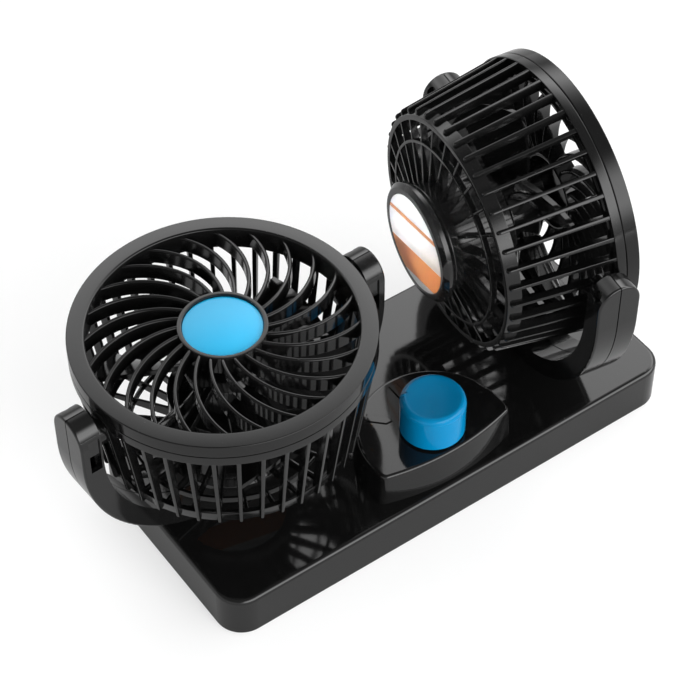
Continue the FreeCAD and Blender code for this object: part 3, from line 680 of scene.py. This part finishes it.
def motor_cup():
    return soften(turned([
        (NOSE_HOLE, at(CUP_FRONT)), (CUP_RADIUS, at(CUP_FRONT)), (CUP_RADIUS, at(CAP_FRONT)),
        (CUP_BORE, at(CAP_FRONT)), (CUP_BORE, at(CUP_PLATE)), (NOSE_HOLE, at(CUP_PLATE)),
    ]), CUP_ROUND)


def tilt_bosses():
    outline = [(0, BOSS_START), (BOSS_RADIUS, BOSS_START), (BOSS_RADIUS, BOSS_END), (0, BOSS_END)]
    boss = soften(turned(outline, BOSS_STEPS), BOSS_ROUND)
    return around(placed(boss, Matrix.Rotation(math.pi / 2, 4, "Y")), 2)


def rear_shell(side):
    phase = math.pi / SLAT_COUNT + math.radians(SLAT_PHASE[side])
    slats = around(turn(side_slat(), phase), SLAT_COUNT)
    ribs = around(turn(rear_rib(), math.radians(RIB_PHASE)), RIB_COUNT)
    return gathered(rear_rim(), slats, rear_band(), ribs, middle_ring(), motor_cup(), tilt_bosses())


def hub_cap():
    """Cap with a chamfered rear edge round the label's seat."""
    steps = [(radius, at(depth)) for radius, depth in CAP_STEPS]
    cap = turned([
        (0, at(CAP_FRONT)), (CUP_RADIUS, at(CAP_FRONT)), *steps, (LABEL_SEAT, at(CAP_REAR)),
        (LABEL_SEAT, at(LABEL_FLOOR)), (0, at(LABEL_FLOOR)),
    ])
    return soften(cap, CAP_ROUND)


def hub_label():
    front = LABEL_FLOOR
    rear = LABEL_FLOOR + LABEL_THICKNESS
    disc = turned([(0, at(front)), (LABEL_RADIUS, at(front)), (LABEL_RADIUS, at(rear)), (0, at(rear))])
    return soften(disc, LABEL_ROUND)


# Rotor

def rotor_blade():
    """One twisted, cambered blade, bent from a flat grid."""
    mesh = bmesh.new()
    bmesh.ops.create_grid(mesh, x_segments=BLADE_STEPS, y_segments=BLADE_STEPS, size=1.0)
    root = ROTOR_HUB_RADIUS - ROTOR_HUB_WALL / 2
    middle = at((ROTOR_FRONT + ROTOR_REAR) / 2)
    for vert in mesh.verts:
        share = (vert.co.x + 1) / 2
        radius = root + (ROTOR_TIP - root) * share
        chord = BLADE_ROOT_CHORD + (BLADE_TIP_CHORD - BLADE_ROOT_CHORD) * share
        pitch = math.radians(BLADE_ROOT_PITCH + (BLADE_TIP_PITCH - BLADE_ROOT_PITCH) * share)
        along = vert.co.y * chord / 2
        camber = BLADE_CAMBER * (1 - vert.co.y ** 2)
        across = along * math.cos(pitch) - camber * math.sin(pitch)
        angle = across / radius + math.radians(BLADE_SWEEP) * share ** 2
        height = middle - BLADE_TIP_RAKE * share + along * math.sin(pitch) + camber * math.cos(pitch)
        vert.co = (radius * math.cos(angle), radius * math.sin(angle), height)
    bmesh.ops.recalc_face_normals(mesh, faces=mesh.faces)
    bmesh.ops.solidify(mesh, geom=mesh.faces[:], thickness=BLADE_THICKNESS)
    return turn(soften(mesh, BLADE_ROUND), math.radians(BLADE_PHASE))


def rotor():
    inner = ROTOR_HUB_RADIUS - ROTOR_HUB_WALL
    shoulder = ROTOR_FRONT + ROTOR_HUB_ROUND
    hub = turned([
        (0, at(ROTOR_FRONT)), (ROTOR_HUB_RADIUS - ROTOR_HUB_ROUND, at(ROTOR_FRONT)),
        (ROTOR_HUB_RADIUS, at(shoulder)), (ROTOR_HUB_RADIUS, at(ROTOR_REAR)), (inner, at(ROTOR_REAR)),
        (inner, at(shoulder)), (0, at(ROTOR_FRONT + ROTOR_HUB_WALL)),
    ], ROTOR_HUB_STEPS)
    return gathered(soften(hub, ROTOR_HUB_EDGE, segments=FINE_SEGMENTS), around(rotor_blade(), BLADE_COUNT))


# Knob and grommet

def speed_knob():
    """Knob with a round rim on a fine crease, a shallow dish and a pointer groove in the rim."""
    crown = KNOB_RADIUS - KNOB_CREASE - KNOB_RIM
    foot = KNOB_TOP - KNOB_RIM
    outline = [(0, KNOB_BOTTOM), (KNOB_RADIUS, KNOB_BOTTOM), (KNOB_RADIUS, KNOB_TOP - POINTER_LENGTH),
               (KNOB_RADIUS, foot - 2 * KNOB_CREASE), (KNOB_RADIUS - KNOB_CREASE, foot - KNOB_CREASE)]
    for step in range(KNOB_RIM_STEPS):
        angle = math.pi / 2 * step / KNOB_RIM_STEPS
        outline.append((crown + KNOB_RIM * math.cos(angle), foot + KNOB_RIM * math.sin(angle)))
    for step in range(KNOB_DISH_STEPS + 1):
        share = 1 - step / KNOB_DISH_STEPS
        outline.append((crown * share, KNOB_TOP - KNOB_DISH * (1 - share ** 2)))
    knob = turned(outline, KNOB_STEPS)
    outward = polar(1.0, POINTER_ANGLE)
    groove = []
    for face in knob.faces:
        middle = face.calc_center_median()
        beside = abs(middle.xy.angle_signed(outward.xy, math.pi))
        on_rim = middle.z > KNOB_TOP - POINTER_LENGTH and middle.xy.length > crown
        if on_rim and beside < math.tau / KNOB_STEPS:
            groove.append(face)
    return pushed(knob, groove, outward * -POINTER_DEPTH)


def cable_grommet(low, high, wall_front, wall_rear):
    """Rubber grommet on Z, with a flange each side of the wall."""
    return soften(turned([
        (GROMMET_BORE, low), (GROMMET_FLANGE, low), (GROMMET_FLANGE, wall_front),
        (GROMMET_WAIST, wall_front), (GROMMET_WAIST, wall_rear), (GROMMET_FLANGE, wall_rear),
        (GROMMET_FLANGE, high), (GROMMET_BORE, high),
    ], GROMMET_STEPS), GROMMET_ROUND)


# Screws and pad

def cross_screw(head_radius, shank_radius, reach):
    """Pan-head screw on Z, with its head below the origin and a cross recess in it."""
    bottom = -SCREW_HEAD_HEIGHT
    outline = [(0, bottom), (head_radius, bottom), (head_radius, 0), (shank_radius, 0),
               (shank_radius, reach), (0, reach)]
    screw = soften(turned(outline, SCREW_STEPS), SCREW_ROUND, segments=FINE_SEGMENTS)

    def head_faces():
        return [face for face in screw.faces
                if face.normal.z < -SCREW_FACE_FLATNESS and face.calc_center_median().z < bottom / 2]

    half = CROSS_WIDTH / 2
    tip = head_radius * CROSS_REACH
    for axis in (Vector((1, 0, 0)), Vector((0, 1, 0))):
        for offset in (-tip, -half, half, tip):
            faces = head_faces()
            edges = {edge for face in faces for edge in face.edges}
            verts = {vert for face in faces for vert in face.verts}
            geometry = faces + list(edges) + list(verts)
            bmesh.ops.bisect_plane(screw, geom=geometry, plane_co=axis * offset, plane_no=axis)
    recess = []
    for face in head_faces():
        middle = face.calc_center_median()
        near, far = sorted((abs(middle.x), abs(middle.y)))
        if near < half and far < tip:
            recess.append(face)
    return pushed(screw, recess, (0, 0, CROSS_DEPTH))


def foam_pad(low, high):
    """Foam pad between two corners, with round corners and soft edges."""
    mesh = bmesh.new()
    middle = (low + high) / 2
    size = high - low
    bmesh.ops.create_cube(mesh, size=1.0, matrix=Matrix.Translation(middle) @ Matrix.Diagonal((*size, 1)))
    upright = [edge for edge in mesh.edges if abs(edge.verts[0].co.z - edge.verts[1].co.z) > size.z / 2]
    bmesh.ops.bevel(mesh, geom=upright, offset=PAD_CORNER, affect="EDGES",
                    segments=PAD_CORNER_SEGMENTS, profile=0.5, material=-1)
    return soften(mesh, PAD_ROUND, segments=FINE_SEGMENTS)


# Placing

joints = {joint["name"]: joint for joint in frame["joints"]}


def head_place(side):
    """Matrix from a head's own millimetres to its place, from its joints."""
    pivot = Vector(joints[side + "_tilt"]["pos_m"])
    along = -Vector(joints[side + "_tilt"]["axis"])
    facing = Vector(joints[side + "_rotor_spin"]["axis"])
    across = facing.cross(along)
    turn_matrix = Matrix((along, across, facing)).transposed().to_4x4()
    return Matrix.Translation(pivot) @ turn_matrix @ Matrix.Scale(MM, 4)


def yoke_place(side):
    """Matrix from a yoke's own millimetres to its place: arms along X, swivel on Z, front to -Y."""
    along = -Vector(joints[side + "_tilt"]["axis"])
    upward = Vector((0, 0, 1))
    turn_matrix = Matrix((along, upward.cross(along), upward)).transposed().to_4x4()
    foot = Vector((*joints[side + "_swivel"]["pos_m"][:2], 0))
    return Matrix.Translation(foot) @ turn_matrix @ Matrix.Scale(MM, 4)


# The object

KNOB_BLUES = ((0.0003, 0.122, 0.268, 1.0), (0.0005, 0.15, 0.308, 1.0))
BADGE_BLUES = ((0.003, 0.29, 0.52, 1.0), (0.007, 0.325, 0.565, 1.0))

gloss_black = moulded_black("gloss_black_plastic", level=0.004, gloss=0.05, gloss_spread=0.05, peel=0.05)
satin_black = moulded_black("satin_black_plastic", level=0.004, gloss=0.06, gloss_spread=0.06, peel=0.06,
                            specular=0.36)
cage_black = moulded_black("cage_black_plastic", level=0.004, gloss=0.08, gloss_spread=0.08, peel=0.08,
                           specular=0.44)
dull_black = textured_black("textured_black_plastic", level=0.02, grain_scale=1500.0)
knob_blue = blue_gloss("knob_blue_plastic", *KNOB_BLUES, gloss=0.07, specular=0.17)
badge_blue = blue_gloss("badge_blue_plastic", *BADGE_BLUES, gloss=0.18, specular=0.33)
zinc = plated_metal("zinc_plated_steel", level=0.56, brush_scale=900.0)
can_metal = plated_metal("plated_motor_can", level=0.5, brush_scale=500.0)
rubber = soft_rubber("grommet_rubber", level=0.02, cell_scale=1800.0, depth=0.00008)
foam = soft_rubber("pad_foam", level=0.03, cell_scale=1100.0, depth=0.0003)

KEPT_FINISHES = {
    "base_top_shell": gloss_black, "control_pod": gloss_black, "base_bottom_cover": dull_black,
    "switch_body": dull_black, "yoke_front_half": gloss_black, "yoke_rear_half": gloss_black,
    "swivel_spindle": dull_black, "pivot_pins": dull_black, "tilt_washers": dull_black, "motor": can_metal,
}
for node_name, node in frame["nodes"].items():
    plain_name = node_name.removeprefix("left_").removeprefix("right_")
    for slot in node.material_slots:
        slot.material = KEPT_FINISHES.get(plain_name, zinc)

for side in ("left", "right"):
    place = head_place(side)
    head = side + "_head"
    label_up = (place.to_3x3() @ Vector((LABEL_LEAN, 1, 0))).normalized()
    label_print = printed_label(side + "_label_print", place @ Vector((0, 0, at(CAP_REAR))), label_up)
    add_piece(side + "_swirl_grille", front_grille(), place, satin_black, head,
              [side + "_front_grille"])
    add_piece(side + "_middle_disc", front_badge(), place, badge_blue, head,
              [side + "_front_badge"])
    add_piece(side + "_slatted_shell", rear_shell(side), place, cage_black, head,
              [side + "_rear_shell"])
    add_piece(side + "_motor_cap", hub_cap(), place, gloss_black, head, [side + "_hub_cap"])
    add_piece(side + "_round_label", hub_label(), place, label_print, head,
              [side + "_hub_label"])
    add_piece(side + "_fan_wheel", rotor(), place, satin_black, side + "_rotor",
              [side + "_rotor"])
    laid = Matrix.Rotation(math.pi / 2, 4, "X")
    yoke_screws = []
    for x in (-YOKE_SCREW_X, YOKE_SCREW_X):
        seat = Matrix.Translation((x, YOKE_SCREW_SEAT, YOKE_SCREW_Z))
        yoke_screws.append(placed(cross_screw(*YOKE_SCREW), seat @ laid))
    add_piece(side + "_cross_screws", gathered(*yoke_screws), yoke_place(side), zinc, side + "_yoke",
              [side + "_yoke_screws"])

knob_place = Matrix.Translation((*joints["knob_turn"]["pos_m"][:2], 0)) @ Matrix.Scale(MM, 4)
add_piece("dished_knob", speed_knob(), knob_place, knob_blue, "knob", ["speed_knob"])

grommet_low, grommet_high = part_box("cable_grommet")
shell_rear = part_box("base_top_shell")[1].y / MM
flange = grommet_high.y / MM - shell_rear
grommet = cable_grommet(grommet_low.y / MM, grommet_high.y / MM, grommet_low.y / MM + flange, shell_rear)
grommet_height = (grommet_low.z + grommet_high.z) / 2
grommet_place = Matrix.Translation((0, 0, grommet_height)) @ Matrix.Rotation(-math.pi / 2, 4, "X")
add_piece("rubber_grommet", grommet, grommet_place @ Matrix.Scale(MM, 4), rubber, "base",
          ["cable_grommet"])

base_screws = []
for x in (-BASE_SCREW_X, BASE_SCREW_X):
    for y in (-BASE_SCREW_Y, BASE_SCREW_Y):
        base_screws.append(placed(cross_screw(*BASE_SCREW), Matrix.Translation((x, y, BASE_SCREW_SEAT))))
add_piece("cover_screws", gathered(*base_screws), Matrix.Scale(MM, 4), zinc, "base",
          ["base_screws"])

pad_low, pad_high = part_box("adhesive_pad")
pad = add_piece("foam_pad", foam_pad(pad_low / MM, pad_high / MM), Matrix.Scale(MM, 4), foam, "base",
                ["adhesive_pad"])


# Floor, light and camera

def studio_world():
    """White background, with a soft panel behind the object and a low one in front, under a dim ceiling."""
    world = bpy.data.worlds.new("studio")
    bpy.context.scene.world = world
    world.use_nodes = True
    tree = Tree(world.node_tree)
    direction = tree.node("ShaderNodeTexCoord")
    height = tree.node("ShaderNodeSeparateXYZ", None, {0: direction}, output=2)
    azimuth = math.radians(CAMERA_AZIMUTH)
    back = tree.along(direction, (-math.sin(azimuth), math.cos(azimuth), 0.0))
    right = tree.along(direction, (math.cos(azimuth), math.sin(azimuth), 0.0))
    ahead = tree.along(direction, FRONT_SIDE)
    room = tree.spread(height, *ROOM_FADE)
    window = tree.spread(back, *WINDOW_BACK) * tree.spread(height, *WINDOW_TOP)
    window = window * tree.spread(height, *WINDOW_FOOT) * tree.spread(right, *WINDOW_FADE)
    front = tree.spread(ahead, *FRONT_AHEAD) * tree.spread(height, *FRONT_TOP)
    front = front * tree.spread(height, *FRONT_FOOT)
    glow = room + WINDOW_GLOW * window + FRONT_GLOW * front
    seen = tree.direct_view()
    level = seen + (1 - seen) * glow
    background = world.node_tree.nodes["Background"]
    tree.feed(background, {"Color": level, "Strength": 1.0})


def studio_floor():
    mesh = bmesh.new()
    bmesh.ops.create_grid(mesh, x_segments=1, y_segments=1, size=FLOOR_HALF_WIDTH)
    bmesh.ops.translate(mesh, vec=(0, 0, -FLOOR_DROP), verts=mesh.verts)
    data = bpy.data.meshes.new("studio_floor")
    mesh.to_mesh(data)
    mesh.free()
    material, tree, shader = new_finish("white_floor")
    mirrored = tree.node("ShaderNodeLightPath", output="Is Glossy Ray")
    shine = FLOOR_SEEN * tree.direct_view() + FLOOR_MIRRORED * mirrored
    tree.feed(shader, {
        "Base Color": grey(FLOOR_GREY),
        "Roughness": 0.9,
        "Specular IOR Level": 0.0,
        "Emission Color": tree.tint(shine, grey(0.0), grey(1.0)),
        "Emission Strength": 1.0,
    })
    data.materials.append(material)
    floor = bpy.data.objects.new("studio_floor", data)
    bpy.context.scene.collection.objects.link(floor)


def soft_light(name, target, position, size, power, spread=180.0):
    """Lamp that lights the colours without a mirror image of itself in the gloss."""
    light = bpy.data.lights.new(name, "AREA")
    light.shape = "SQUARE"
    light.size = size
    light.energy = power
    light.spread = math.radians(spread)
    lamp = bpy.data.objects.new(name, light)
    bpy.context.scene.collection.objects.link(lamp)
    lamp.location = position
    lamp.visible_glossy = False
    lamp.rotation_euler = (Vector(target) - Vector(position)).to_track_quat("-Z", "Y").to_euler()


def photo_camera():
    camera = bpy.data.cameras.new("photo_camera")
    camera.sensor_width = SENSOR_WIDTH
    camera.lens = CAMERA_FOCAL_PIXELS * SENSOR_WIDTH / IMAGE_SIZE
    camera.clip_start = CAMERA_NEAR * MM
    seat = bpy.data.objects.new("photo_camera", camera)
    bpy.context.scene.collection.objects.link(seat)
    azimuth = math.radians(CAMERA_AZIMUTH)
    elevation = math.radians(CAMERA_ELEVATION)
    back = Vector((math.sin(azimuth) * math.cos(elevation), -math.cos(azimuth) * math.cos(elevation),
                   math.sin(elevation)))
    aim = back.to_track_quat("Z", "Y").to_matrix() @ Matrix.Rotation(math.radians(CAMERA_ROLL), 3, "Z")
    position = (Vector(CAMERA_TARGET) + back * CAMERA_DISTANCE) * MM
    seat.matrix_world = Matrix.Translation(position) @ aim.to_4x4()
    bpy.context.scene.camera = seat


studio_world()
studio_floor()
soft_light("left_fill", LAMP_AIM, **LEFT_FILL)
soft_light("front_key", LAMP_AIM, **FRONT_KEY)
soft_light("label_fill", head_place("right") @ Vector((0, 0, at(CAP_REAR))), **LABEL_FILL)
photo_camera()
bpy.context.scene.view_settings.view_transform = "Standard"
